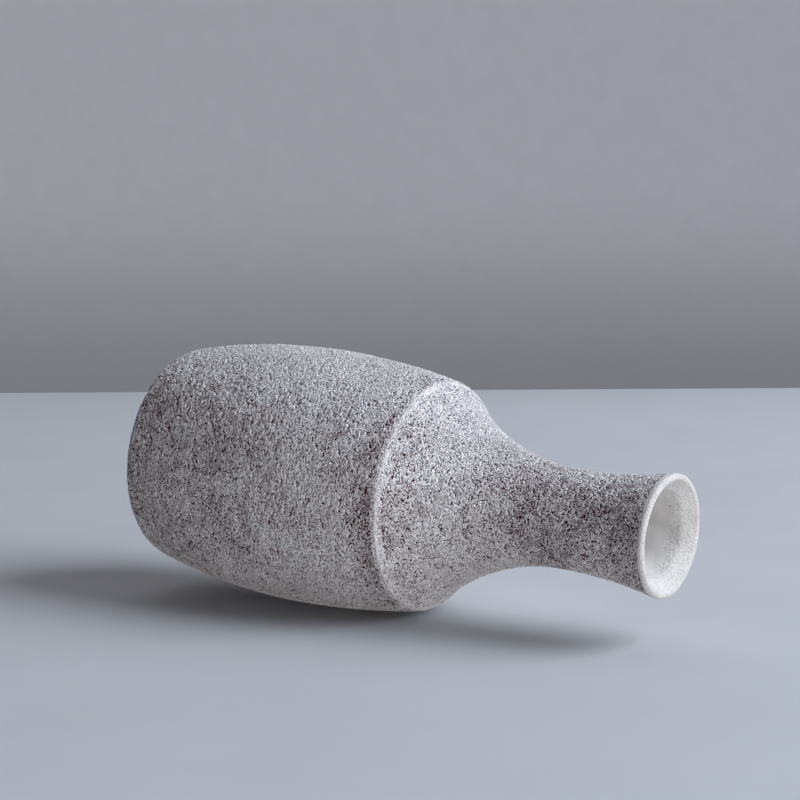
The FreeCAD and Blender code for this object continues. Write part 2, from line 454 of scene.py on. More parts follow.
@dataclass(frozen=True)
class CoatSockets:
    """What the coat's pattern gives: a height in millimetres, and shares from 0 to 1."""

    height: Any
    gap: Any
    grain: Any
    sand: Any
    patches: Any
    openness: Any


@dataclass(frozen=True)
class CoatPattern:
    """Granules and pits of the coat, in millimetres, the same for its mesh and its colour.

    The slip dried over the clay and shrank, so it stands up in granules, stretched a little round
    the axis by the brush, and opens in pits where they meet, in short cracks and in a few burst
    bubbles.  It is more open beside the ridge, on the neck and towards the foot, and closed along
    the ridge itself.  Grit finer than a third of a millimetre wouldn't show and is drawn that
    coarse.
    """

    ridge_height: float
    granule: float = 0.52
    streak: float = 1.45
    grit: float = 0.34
    lump: float = 1.4
    lumps: float = 0.24
    patch: float = 9.0
    hand: float = 22.0
    row: float = 4.5
    row_streak: float = 2.6
    cloud: float = 13.0
    openness: float = 0.5
    ridge_line: float = 0.9
    ridge_reach: float = 9.0
    below_ridge: float = 0.26
    above_ridge: float = 0.22
    neck_open: float = 0.28
    neck_span: tuple[float, float] = (12.0, 34.0)
    foot_open: float = 0.14
    foot_span: tuple[float, float] = (-25.0, -65.0)
    quiet_azimuth: float = -75.0
    quiet_share: float = 0.34
    under_azimuth: float = 165.0
    under_share: float = 0.14
    side_reach: float = 26.0
    crack_width: float = 0.09
    crack_cloud: float = 2.2
    burst: float = 5.5

    def towards(self, tree: Any, place: Any, azimuth: float, share: float) -> Any:
        """Close the coat on one side of the vase.

        Args:
            tree: a shader or geometry tree.
            place: socket with the undisplaced position in millimetres.
            azimuth: the middle of that side, in degrees.
            share: how much openness it takes away.

        Returns:
            The change of openness, 0 on the other side.
        """
        turn = math.radians(azimuth)
        way = (math.cos(turn), math.sin(turn), 0.0)
        facing = add_node(tree, Kind.VECTOR, [place, way], "Value", operation="DOT_PRODUCT")
        return add_node(tree, Kind.RANGE, [facing, 0.0, self.side_reach, 0.0, -share], **SMOOTH)

    def openness_here(self, tree: Any, place: Any) -> Any:
        """How open the coat is at a place.

        Args:
            tree: a shader or geometry tree.
            place: socket with the undisplaced position in millimetres.

        Returns:
            The openness, about 0 where the coat is closed and 1 where it is wide open.
        """
        ridge, line = self.ridge_height, self.ridge_line
        neck = [*(ridge + end for end in self.neck_span), 0.0, self.neck_open]
        foot = [*(ridge + end for end in self.foot_span), 0.0, self.foot_open]
        height = add_node(tree, Kind.SPLIT, [place], 2)
        above = add_node(tree, Kind.MATH, [height, ridge], operation="SUBTRACT")
        off_ridge = add_node(tree, Kind.MATH, [above], operation="ABSOLUTE")
        beside = add_node(tree, Kind.RANGE, [off_ridge, self.ridge_reach, 1.5 * line], **SMOOTH)
        sides = [height, ridge - 0.1, ridge + 0.1, self.below_ridge, self.above_ridge]
        side = add_node(tree, Kind.RANGE, sides, **SMOOTH)
        clouds = add_node(tree, Kind.NOISE, {"Vector": place, "Scale": 1 / self.cloud})
        drawn_out = (1.0, 1.0, self.row_streak)
        in_rows = add_node(tree, Kind.VECTOR, [place, drawn_out], operation="MULTIPLY")
        row_kind = {"Vector": in_rows, "Scale": 1 / self.row, "Roughness": 0.6}
        rows = add_node(tree, Kind.NOISE, row_kind)
        parts = (
            add_node(tree, Kind.RANGE, [off_ridge, 1.5 * line, 0.5 * line, 0.0, -1.2], **SMOOTH),
            add_node(tree, Kind.RANGE, [height, *neck], **SMOOTH),
            add_node(tree, Kind.RANGE, [height, *foot], **SMOOTH),
            self.towards(tree, place, self.quiet_azimuth, self.quiet_share),
            self.towards(tree, place, self.under_azimuth, self.under_share),
            add_node(tree, Kind.MATH, [clouds, 0.6], operation="MULTIPLY"),
            add_node(tree, Kind.MATH, [rows, 0.75], operation="MULTIPLY"),
        )
        total = add_node(tree, Kind.MATH, [beside, side], operation="MULTIPLY")
        for part in parts:
            total = add_node(tree, Kind.MATH, [total, part], operation="ADD")
        return add_node(tree, Kind.MATH, [total, self.openness - 0.675], operation="ADD")

    def gaps(self, tree: Any, place: Any, warped: Any, sand: Any, grain: Any, openness: Any) -> Any:
        """Where the coat is open down to the clay: pits between granules, cracks and bubbles.

        Args:
            tree: a shader or geometry tree.
            place: socket with the undisplaced position in millimetres.
            warped: the same, drawn out round the axis and stirred.
            sand: socket with the finest grit.
            grain: socket with the distance from a granule's middle.
            openness: socket with how open the coat is.

        Returns:
            The gap, from 0 on the coat to 1 in a pit.
        """
        low = add_node(tree, Kind.MATH, [openness, -0.42, 0.97], operation="MULTIPLY_ADD")
        high = add_node(tree, Kind.MATH, [low, 0.07], operation="ADD")
        pits = add_node(tree, Kind.RANGE, [grain, low, high], **SMOOTH)

        cell = {"Vector": warped, "Scale": 1 / self.granule, "Randomness": 1.0}
        seam = add_node(tree, Kind.CELLS, cell, feature="DISTANCE_TO_EDGE")
        crack_low = add_node(tree, Kind.MATH, [openness, -0.35, 0.78], operation="MULTIPLY_ADD")
        crack_high = add_node(tree, Kind.MATH, [crack_low, 0.06], operation="ADD")
        cloud_kind = {"Vector": place, "Scale": 1 / self.crack_cloud, "Detail": 1.0}
        cloud = add_node(tree, Kind.NOISE, cloud_kind)
        crack_here = add_node(tree, Kind.RANGE, [cloud, crack_low, crack_high], **SMOOTH)
        narrow = add_node(tree, Kind.RANGE, [seam, self.crack_width, 0.0], **SMOOTH)
        cracks = add_node(tree, Kind.MATH, [narrow, crack_here], operation="MULTIPLY")

        bubble = {"Vector": warped, "Scale": 1 / self.burst, "Randomness": 1.0}
        holes = add_node(tree, Kind.CELLS, bubble)
        ragged = add_node(tree, Kind.MATH, [sand, 0.06, holes], operation="MULTIPLY_ADD")
        wide = add_node(tree, Kind.MATH, [openness, 0.14, 0.05], operation="MULTIPLY_ADD")
        rim = add_node(tree, Kind.MATH, [wide, 0.001], operation="MAXIMUM")
        bottom = add_node(tree, Kind.MATH, [rim, 0.6], operation="MULTIPLY")
        bubbles = add_node(tree, Kind.RANGE, [ragged, rim, bottom], **SMOOTH)

        gap = add_node(tree, Kind.MATH, [pits, cracks], operation="MAXIMUM")
        return add_node(tree, Kind.MATH, [gap, bubbles], operation="MAXIMUM")

    def build(self, tree: Any, place: Any) -> CoatSockets:
        """Lay the patterns out in a tree.

        Args:
            tree: a shader or geometry tree.
            place: socket with the undisplaced position in millimetres.

        Returns:
            The pattern's sockets.
        """
        drawn_out = (1.0, 1.0, self.streak)
        stretched = add_node(tree, Kind.VECTOR, [place, drawn_out], operation="MULTIPLY")
        stir = add_node(tree, Kind.NOISE, {"Vector": stretched, "Scale": 0.6, "Detail": 1.0}, 1)
        spread = [stir, (1.1, 1.1, 1.1), stretched]
        warped = add_node(tree, Kind.VECTOR, spread, operation="MULTIPLY_ADD")
        cell = {"Vector": warped, "Scale": 1 / self.granule, "Randomness": 1.0}
        grain = add_node(tree, Kind.CELLS, cell)
        sand_kind = {"Vector": stretched, "Scale": 1 / self.grit, "Detail": 1.0}
        sand = add_node(tree, Kind.NOISE, sand_kind)
        lump_kind = {"Vector": stretched, "Scale": 1 / self.lump, "Detail": 1.0}
        lumps = add_node(tree, Kind.NOISE, lump_kind)
        hand = add_node(tree, Kind.NOISE, {"Vector": place, "Scale": 1 / self.hand, "Detail": 1.0})
        patches = add_node(tree, Kind.NOISE, {"Vector": place, "Scale": 1 / self.patch})
        openness = self.openness_here(tree, place)
        gap = self.gaps(tree, place, warped, sand, grain, openness)

        rounded = add_node(tree, Kind.MATH, [grain, 2.0], operation="POWER")
        rise = add_node(tree, Kind.MATH, [rounded, -0.34], operation="MULTIPLY")
        for part, share in ((lumps, self.lumps), (sand, 0.12), (hand, 0.35), (gap, -0.20)):
            rise = add_node(tree, Kind.MATH, [part, share, rise], operation="MULTIPLY_ADD")
        rise = add_node(tree, Kind.MATH, [rise, -0.24], operation="ADD")
        return CoatSockets(rise, gap, grain, sand, patches, openness)


def relief_tree(name: str, pattern: CoatPattern) -> Any:
    """Make the geometry tree that raises a coat's mesh.

    Args:
        name: the tree's name.
        pattern: the coat's granules and gaps.

    Returns:
        The tree, which also stores each point's undisplaced position in millimetres.
    """
    tree = bpy.data.node_groups.new(name, "GeometryNodeTree")
    for way in ("INPUT", "OUTPUT"):
        tree.interface.new_socket("Geometry", in_out=way, socket_type="NodeSocketGeometry")
    plain = add_node(tree, Kind.MESH_IN, {})
    position = add_node(tree, Kind.POSITION, {})
    place = add_node(tree, Kind.VECTOR, {0: position, "Scale": 1 / MM}, operation="SCALE")
    keep = {"Geometry": plain, "Name": PLACE, "Value": place}
    placed = add_node(tree, Kind.STORE, keep, data_type="FLOAT_VECTOR", domain="POINT")
    kept = add_node(tree, Kind.STORED, {"Name": PLACE}, data_type="FLOAT_VECTOR")
    share = add_node(tree, Kind.STORED, {"Name": RELIEF}, data_type="FLOAT")
    rise = pattern.build(tree, kept).height
    height = add_node(tree, Kind.MATH, [rise, share], operation="MULTIPLY")
    metres = add_node(tree, Kind.MATH, [height, MM], operation="MULTIPLY")
    normal = add_node(tree, Kind.NORMAL, {})
    offset = add_node(tree, Kind.VECTOR, {0: normal, "Scale": metres}, operation="SCALE")
    moved = add_node(tree, Kind.MOVE, {"Geometry": placed, "Offset": offset})
    add_node(tree, Kind.MESH_OUT, [moved], None)
    return tree


def raise_relief(made: Any, tree: Any) -> None:
    """Raise a mesh by a geometry tree and keep the result as its own mesh.

    Args:
        made: the object.
        tree: the geometry tree.
    """
    modifier = made.modifiers.new("relief", "NODES")
    modifier.node_group = tree
    graph = bpy.context.evaluated_depsgraph_get()
    raised = bpy.data.meshes.new_from_object(
        made.evaluated_get(graph), preserve_all_data_layers=True, depsgraph=graph
    )
    plain = made.data
    made.modifiers.clear()
    made.data = raised
    bpy.data.meshes.remove(plain)
    raised.name = made.name


def new_material(name: str) -> tuple[Any, Any]:
    """Start a material.

    Args:
        name: what the finish is.

    Returns:
        The material and its empty node tree.
    """
    material = bpy.data.materials.new(name)
    material.use_nodes = True
    material.node_tree.nodes.clear()
    return material, material.node_tree


def object_place(tree: Any) -> Any:
    """Position on the piece, in millimetres.

    Args:
        tree: the material's tree.

    Returns:
        The position's socket.
    """
    metres = add_node(tree, Kind.COORDINATES, {}, "Object")
    return add_node(tree, Kind.VECTOR, {0: metres, "Scale": 1 / MM}, operation="SCALE")


def finish_surface(tree: Any, feeds: dict[str, Any], one_sided: bool = False) -> None:
    """Close a material's tree with its shader.

    Args:
        tree: the material's tree.
        feeds: constants and patterns for the shader's own sockets.
        one_sided: whether the back of the surface lets everything through.
    """
    shader = add_node(tree, Kind.SURFACE, feeds)
    if one_sided:
        behind = add_node(tree, Kind.SIDES, {}, "Backfacing")
        clear = add_node(tree, Kind.CLEAR, {})
        shader = add_node(tree, Kind.EITHER, [behind, shader, clear])
    add_node(tree, Kind.MATERIAL, {"Surface": shader}, None)


@dataclass(frozen=True)
class GranularCoat:
    """Granular crackled slip coat, brushed on thick and fired dry.

    It gives the eye a chalky white crust of grains under 1 mm across with no gloss at all, grey
    between the grains that is partly painted shade, dark red-brown clay in the pits that darkens to
    painted shade in their middles, and a clay tint where the slip is thin.
    """

    name: str
    pattern: CoatPattern
    white: str = "#faf7f4"
    shade: str = "#ece7e4"
    # Grey between the grains: partly the slip's own grey, partly painted shade in the hollows.
    valley_grey_and_shade: str = "#968889"
    stain: str = "#8d7471"
    clay: str = "#95473f"
    # Clay in the middle of the pits, darker than the clay itself: painted shade at the pit's bottom.
    depth: str = "#3d1b1a"
    relief: float = 2.6

    def material(self) -> Any:
        """Make the material.

        Returns:
            The material, which reads the same pattern as the mesh under it.
        """
        material, tree = new_material(self.name)
        place = add_node(tree, Kind.ATTRIBUTE, {}, "Vector", attribute_name=PLACE)
        coat = self.pattern.build(tree, place)
        tone = add_node(tree, Kind.RANGE, [coat.patches, 0.35, 0.65], **SMOOTH)
        whites = {0: tone, 6: linear(self.white), 7: linear(self.shade)}
        body = add_node(tree, Kind.MIX, whites, 2, **COLOUR)
        # Darker between the granules: partly grey slip, partly painted shade in the hollows between
        # them.
        grey = add_node(tree, Kind.MATH, [coat.sand, -0.5, coat.grain], operation="MULTIPLY_ADD")
        sunk_grey_and_shade = add_node(tree, Kind.RANGE, [grey, 0.0, 0.78], **SMOOTH)
        body = add_node(tree, Kind.MIX, {0: sunk_grey_and_shade, 6: body, 7: linear(self.valley_grey_and_shade)}, 2, **COLOUR)
        thin = add_node(tree, Kind.RANGE, [coat.openness, 0.45, 1.0, 0.0, 0.45], **SMOOTH)
        body = add_node(tree, Kind.MIX, {0: thin, 6: body, 7: linear(self.stain)}, 2, **COLOUR)
        # The clay darkens towards the middle of each pit: painted shade in the pit.
        deep = add_node(tree, Kind.RANGE, [coat.gap, 0.55, 1.0, 0.0, 0.95], **SMOOTH)
        clays = {0: deep, 6: linear(self.clay), 7: linear(self.depth)}
        pit_clay_and_shade = add_node(tree, Kind.MIX, clays, 2, **COLOUR)
        bared = add_node(tree, Kind.RANGE, [coat.gap, 0.05, 0.6], **SMOOTH)
        relief = {"Height": coat.height, "Strength": 1.0, "Distance": self.relief * MM}
        finish_surface(
            tree,
            {
                "IOR": 1.45,
                "Specular IOR Level": 0.2,
                "Base Color": add_node(tree, Kind.MIX, {0: bared, 6: body, 7: pit_clay_and_shade}, 2, **COLOUR),
                "Roughness": add_node(tree, Kind.RANGE, [coat.gap, 0.0, 1.0, 0.95, 0.8], **SMOOTH),
                "Normal": add_node(tree, Kind.BUMP, relief),
            },
        )
        return material


@dataclass(frozen=True)
class ThrownStoneware:
    """Unglazed red-brown stoneware, thrown and then turned.

    It gives the eye a dull dark terracotta with fine sandy grog and the rings of the turning tool.
    """

    name: str = "unglazed turned stoneware"
    light: str = "#7d5648"
    dark: str = "#5a3a31"
    grog: str = "#b39a86"
    cloud: float = 9.0
    grit: float = 0.45
    speck: float = 1.6
    relief: float = 0.08

    def material(self) -> Any:
        """Make the material.

        Returns:
            The material.
        """
        material, tree = new_material(self.name)
        place = object_place(tree)
        cloud_kind = {"Vector": place, "Scale": 1 / self.cloud, "Detail": 3.0}
        clouds = add_node(tree, Kind.NOISE, cloud_kind)
        grit = add_node(tree, Kind.NOISE, {"Vector": place, "Scale": 1 / self.grit})
        speck_kind = {"Vector": place, "Scale": 1 / self.speck, "Randomness": 1.0}
        specks = add_node(tree, Kind.CELLS, speck_kind)
        speck = add_node(tree, Kind.RANGE, [specks, 0.22, 0.14], **SMOOTH)
        tone = add_node(tree, Kind.RANGE, [clouds, 0.3, 0.7], **SMOOTH)
        browns = {0: tone, 6: linear(self.dark), 7: linear(self.light)}
        body = add_node(tree, Kind.MIX, browns, 2, **COLOUR)
        share = add_node(tree, Kind.MATH, [speck, 0.6], operation="MULTIPLY")
        grogged = {0: share, 6: body, 7: linear(self.grog)}
        height = add_node(tree, Kind.MATH, [speck, 0.5, grit], operation="MULTIPLY_ADD")
        relief = {"Height": height, "Strength": 1.0, "Distance": self.relief * MM}
        finish_surface(
            tree,
            {
                "IOR": 1.5,
                "Specular IOR Level": 0.35,
                "Base Color": add_node(tree, Kind.MIX, grogged, 2, **COLOUR),
                "Roughness": add_node(tree, Kind.RANGE, [grit, 0.3, 0.7, 0.75, 0.92], **SMOOTH),
                "Normal": add_node(tree, Kind.BUMP, relief),
            },
        )
        return material


@dataclass(frozen=True)
class SmoothGlaze:
    """White tin glaze, poured and wiped, with a dry sanded band on the bevel and just below it.

    It gives the eye an even satin white with faint throwing rings, broken by fine grains near the
    mouth where the coat's slurry ran over the edge.
    """

    name: str
    sand_low: float
    sand_high: float
    white: str = "#cac6c0"
    shade: str = "#beb9b3"
    grit: str = "#a59f9a"
    pinhole: str = "#6d4f49"
    satin: float = 0.5
    cloud: float = 5.0
    wave: float = 2.2
    grain: float = 0.48
    pinholes: float = 6.0
    relief: float = 0.12

    def sanded(self, tree: Any, place: Any) -> Any:
        """How much of the coat's slurry lies on the glaze.

        Args:
            tree: the material's tree.
            place: socket with the position in millimetres.

        Returns:
            The share, from 0 to 1.
        """
        height = add_node(tree, Kind.SPLIT, [place], 2)
        low, high = self.sand_low, self.sand_high
        rising = add_node(tree, Kind.RANGE, [height, low, low + 5.0], **SMOOTH)
        fading = add_node(tree, Kind.RANGE, [height, high + 0.5, high - 0.7], **SMOOTH)
        return add_node(tree, Kind.MATH, [rising, fading], operation="MULTIPLY")

    def material(self) -> Any:
        """Make the material.

        Returns:
            The material.
        """
        material, tree = new_material(self.name)
        place = object_place(tree)
        clouds = add_node(tree, Kind.NOISE, {"Vector": place, "Scale": 1 / self.cloud})
        wave_kind = {"Vector": place, "Scale": 1 / self.wave, "Detail": 1.0}
        waves = add_node(tree, Kind.NOISE, wave_kind)
        grain_kind = {"Vector": place, "Scale": 1 / self.grain, "Detail": 1.0}
        grains = add_node(tree, Kind.NOISE, grain_kind)
        sanded = self.sanded(tree, place)

        tone = add_node(tree, Kind.RANGE, [clouds, 0.3, 0.75], **SMOOTH)
        whites = {0: tone, 6: linear(self.white), 7: linear(self.shade)}
        body = add_node(tree, Kind.MIX, whites, 2, **COLOUR)
        dark_grain = add_node(tree, Kind.RANGE, [grains, 0.52, 0.36, 0.0, 0.65], **SMOOTH)
        speckle = add_node(tree, Kind.MATH, [dark_grain, sanded], operation="MULTIPLY")
        body = add_node(tree, Kind.MIX, {0: speckle, 6: body, 7: linear(self.grit)}, 2, **COLOUR)
        hole_kind = {"Vector": place, "Scale": 1 / self.pinholes, "Randomness": 1.0}
        spot = add_node(tree, Kind.CELLS, hole_kind)
        hole = add_node(tree, Kind.RANGE, [spot, 0.07, 0.045], **SMOOTH)
        share = add_node(tree, Kind.MATH, [hole, 0.8], operation="MULTIPLY")
        pricked = {0: share, 6: body, 7: linear(self.pinhole)}
        rough = add_node(tree, Kind.MATH, [grains, sanded], operation="MULTIPLY")
        height = add_node(tree, Kind.MATH, [rough, 2.2, waves], operation="MULTIPLY_ADD")
        height = add_node(tree, Kind.MATH, [hole, -0.5, height], operation="MULTIPLY_ADD")
        relief = {"Height": height, "Strength": 1.0, "Distance": self.relief * MM}
        dry = [sanded, 0.3, self.satin]
        finish_surface(
            tree,
            {
                "IOR": 1.5,
                "Specular IOR Level": 0.3,
                "Base Color": add_node(tree, Kind.MIX, pricked, 2, **COLOUR),
                "Roughness": add_node(tree, Kind.MATH, dry, operation="MULTIPLY_ADD"),
                "Normal": add_node(tree, Kind.BUMP, relief),
            },
        )
        return material


@dataclass(frozen=True)
class PressedSlip:
    """White luting slip, squeezed out of the joint and wiped along it with a finger.

    It gives the eye a thin chalky line, a little smoother than the crust that it runs into on
    either side, with the same grains worn down.
    """

    pattern: CoatPattern
    name: str = "wiped luting slip"
    white: str = "#dcd7d4"
    shade: str = "#cbc5c2"
    # Grey between the worn grains, partly painted shade in the hollows.
    valley_grey_and_shade: str = "#9c9390"
    relief: float = 0.8

    def material(self) -> Any:
        """Make the material.

        Returns:
            The material, which reads the same pattern as the mesh under it.
        """
        material, tree = new_material(self.name)
        place = add_node(tree, Kind.ATTRIBUTE, {}, "Vector", attribute_name=PLACE)
        slip = self.pattern.build(tree, place)
        tone = add_node(tree, Kind.RANGE, [slip.patches, 0.35, 0.65], **SMOOTH)
        whites = {0: tone, 6: linear(self.white), 7: linear(self.shade)}
        body = add_node(tree, Kind.MIX, whites, 2, **COLOUR)
        # Darker between the worn grains: partly grey slip, partly painted shade in the hollows between
        # them.
        grey = add_node(tree, Kind.MATH, [slip.sand, -0.5, slip.grain], operation="MULTIPLY_ADD")
        sunk_grey_and_shade = add_node(tree, Kind.RANGE, [grey, 0.15, 0.8], **SMOOTH)
        shaded = {0: sunk_grey_and_shade, 6: body, 7: linear(self.valley_grey_and_shade)}
        relief = {"Height": slip.height, "Strength": 1.0, "Distance": self.relief * MM}
        dry = [slip.sand, 0.2, 0.8, 0.85, 0.95]
        finish_surface(
            tree,
            {
                "IOR": 1.45,
                "Specular IOR Level": 0.2,
                "Base Color": add_node(tree, Kind.MIX, shaded, 2, **COLOUR),
                "Roughness": add_node(tree, Kind.RANGE, dry, **SMOOTH),
                "Normal": add_node(tree, Kind.BUMP, relief),
            },
        )
        return material


# ---------------------------------------------------------------------------------------------
# Pieces


def fit_piece(made: Any, material: Any, slot: Slot, *nodes: str) -> None:
    """Dress a finished piece and tie it to the frame.

    Args:
        made: the piece.
        material: its material.
        slot: the record's slot for its finish; not used.
        nodes: the CAD nodes that it stands for.
    """
    made.data.materials.clear()
    made.data.materials.append(material)
    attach(made, BODY)
    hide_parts(*nodes)
    log.info("%s: %d faces, stands for %s", made.name, len(made.data.polygons), ", ".join(nodes))


@dataclass
class Clay:
    """The thrown clay wall: a barrel with its turned foot, and the shoulder and neck on it."""

    form: Form
    foot_ring: float = 6.0
    foot_recess: float = 1.2
    recess_slope: float = 1.5
    tool_step: float = 1.7
    tool_mark: float = 0.07
    segments: int = 256
    finish: ThrownStoneware = field(default_factory=ThrownStoneware)

    def build(self) -> None:
        """Make the barrel's clay with its turning marks and dress both clay pieces."""
        material = self.finish.material()
        fit_piece(self.barrel(), material, Slot.STONEWARE, "barrel")
        neck = frame["nodes"]["shoulder_and_neck"]
        neck.data.materials.clear()
        neck.data.materials.append(material)
        log.info("shoulder_and_neck: CAD piece in %s", self.finish.name)

    def barrel(self) -> Any:
        """Turn the barrel: inside up from the floor, outside down to the foot and in underneath.

        Returns:
            The object.
        """
        f = self.form
        inset = f.coat + f.barrel_wall
        outside, inside = Skin(f, f.coat, f.coat, f.coat), Skin(f, inset, inset, inset)
        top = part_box("slip_joint")[0].z / MM
        floor_edge, _, floor_end = inside.rounding(f.floor, f.floor_round)
        foot_edge, _, foot_end = outside.rounding(0.0, f.foot_round)
        ring_edge = foot_edge - self.foot_ring
        middle = f.floor + f.floor_round
        cove_turn = math.degrees(math.asin((floor_end - middle) / f.floor_round))
        heel_turn = math.degrees(math.asin((foot_end - f.foot_round) / f.foot_round))
        under_r = steps(ring_edge - self.recess_slope, 0.0, 0.25)
        fading = self.tool_mark * np.minimum(1.0, under_r / 2)
        mark = np.cos(under_r / self.tool_step * math.tau) * fading
        outline = joined(
            level(steps(0.0, floor_edge, 0.8), f.floor),
            arc((floor_edge, middle), f.floor_round, -90, cove_turn, 10),
            on_skin(inside, steps(floor_end, top, 1.2)),
            on_skin(outside, steps(top, foot_end, 1.2)),
            arc((foot_edge, f.foot_round), f.foot_round, heel_turn, -90, 14),
            level(steps(foot_edge, ring_edge, 0.35), 0.0),
            np.stack([under_r, self.foot_recess + mark], axis=1),
        )
        return turned_mesh("barrel_clay", outline, np.zeros(len(outline)), self.segments)


@dataclass
class Coat:
    """The granular coat in its two parts, over the barrel and over shoulder and neck."""

    form: Form
    spacing: float = 0.42
    under_spacing: float = 12.0
    fade: float = 1.1
    barrel_segments: int = 472
    neck_segments: int = 420
    foot_waver: float = 0.35
    barrel_granule: float = 0.52
    neck_granule: float = 0.50
    barrel_openness: float = 0.54
    neck_openness: float = 0.42
    barrel_lumps: float = 0.38
    neck_lumps: float = 0.20

    def build(self) -> None:
        """Make and dress both parts."""
        low = self.form.coat_stop
        ridge_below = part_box("barrel_coat")[1].z / MM
        ridge_above, lip_edge = (corner.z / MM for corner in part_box("shoulder_coat"))
        ridge = self.form.ridge_height
        below = CoatPattern(
            ridge, self.barrel_granule, lumps=self.barrel_lumps, openness=self.barrel_openness
        )
        above = CoatPattern(
            ridge, self.neck_granule, lumps=self.neck_lumps, openness=self.neck_openness
        )
        parts = (
            ("barrel_crust", "barrel_coat", low, ridge_below, self.barrel_segments, below),
            ("neck_crust", "shoulder_coat", ridge_above, lip_edge, self.neck_segments, above),
        )
        for name, node, bottom, top, segments, pattern in parts:
            made = self.part(name, bottom, top, segments)
            raise_relief(made, relief_tree(name + "_relief", pattern))
            finish = GranularCoat(name.replace("_", " ") + ", granular slip coat", pattern)
            fit_piece(made, finish.material(), Slot.COAT, node)

    def part(self, name: str, bottom: float, top: float, segments: int) -> Any:
        """Turn one part of the coat.

        Args:
            name: its name.
            bottom: height of its lower edge.
            top: height of its upper edge.
            segments: how many points each ring has.

        Returns:
            The object.
        """
        f = self.form
        outer, inner = Skin(f), Skin(f, f.coat, f.coat, f.coat)
        up = on_skin(outer, self.even_heights(outer, bottom, top), footed=True)
        down = on_skin(inner, steps(top, bottom, self.under_spacing), footed=True)
        outline = joined(up, down)
        edge = np.minimum(up[:, 1] - bottom, top - up[:, 1])
        share = np.clip(edge / self.fade, 0.0, 1.0) ** 0.7 * 0.8 + 0.2
        relief = np.concatenate([share, np.zeros(len(outline) - len(up))])

        def reshape(azimuth: Array, radius: Array, height: Array) -> tuple[Array, Array]:
            """Let the free edges waver and keep every point on its skin.

            Args:
                azimuth: angle of each point round the axis.
                radius: its radius; not used.
                height: its height.

            Returns:
                The moved radius and height.
            """
            foot = np.clip(1 - (height - f.coat_stop) / 3.0, 0.0, 1.0) * (bottom < f.foot_round)
            lip = np.clip(1 - (top - height) / 4.0, 0.0, 1.0) * (top > f.waist_height)
            moved = height + foot * self.foot_waver * wander(azimuth, 3)
            moved = moved + lip * lip_edge_shift(azimuth, f.lip_waver)
            on_outer = (np.arange(len(outline)) < len(up))[:, None]
            return np.where(on_outer, outer.footed(moved), inner.footed(moved)), moved

        return turned_mesh(name, outline, relief, segments, reshape)

    def even_heights(self, skin: Skin, bottom: float, top: float) -> Array:
        """Heights that are evenly spaced along the outline.

        Args:
            skin: the skin that the outline follows.
            bottom: first height.
            top: last height.

        Returns:
            The heights.
        """
        fine = steps(bottom, top, 0.02)
        run = np.hypot(np.diff(fine), np.diff(skin.footed(fine)))
        along = np.concatenate([[0.0], np.cumsum(run)])
        return np.interp(steps(0.0, along[-1], self.spacing), along, fine)


def lip_edge_shift(azimuth: Array, waver: float) -> Array:
    """How far the line between coat and lip glaze moves up round the mouth, in millimetres."""
    lean = np.cos(azimuth - math.radians(75))
    return waver * (lean - 0.5) * 1.3 + 0.12 * wander(azimuth, 11, 14)


@dataclass
class SlipJoint:
    """The ring of luting slip between the two thrown sections, worn level with the coat's edges."""

    form: Form
    bead_width: float = 1.5
    crown: float = 0.12
    depth: float = 1.2
    rings: int = 9
    segments: int = 472

    def build(self) -> None:
        """Make and dress the bead."""
        f = self.form
        pattern = CoatPattern(f.ridge_height)
        across = np.linspace(-1.0, 1.0, self.rings)
        levels = f.ridge_height + across * self.bead_width / 2
        crowned = Skin(f).radius(levels) - self.crown * across**2
        face = np.stack([crowned, levels], axis=1)
        back = face[::-1][[0, -1]] - [self.depth, 0.0]
        outline = joined(face, back)
        relief = np.array([0.75] * self.rings + [0.0, 0.0])

        def reshape(azimuth: Array, radius: Array, height: Array) -> tuple[Array, Array]:
            """Let the bead's width vary as it was wiped, and the ridge waver.

            Args:
                azimuth: angle of each point round the axis.
                radius: its radius.
                height: its height.

            Returns:
                The moved radius and height.
            """
            fuller = 1 + 0.3 * wander(azimuth, 5, 40)
            rough = 0.06 * wander(azimuth, 6, 60) * (radius > f.ridge_radius - 1.0)
            return radius + rough, f.ridge_height + (height - f.ridge_height) * fuller

        made = turned_mesh("ridge_bead", outline, relief, self.segments, reshape)
        raise_relief(made, relief_tree("ridge_bead_relief", pattern))
        fit_piece(made, PressedSlip(pattern).material(), Slot.SLIP, "slip_joint")


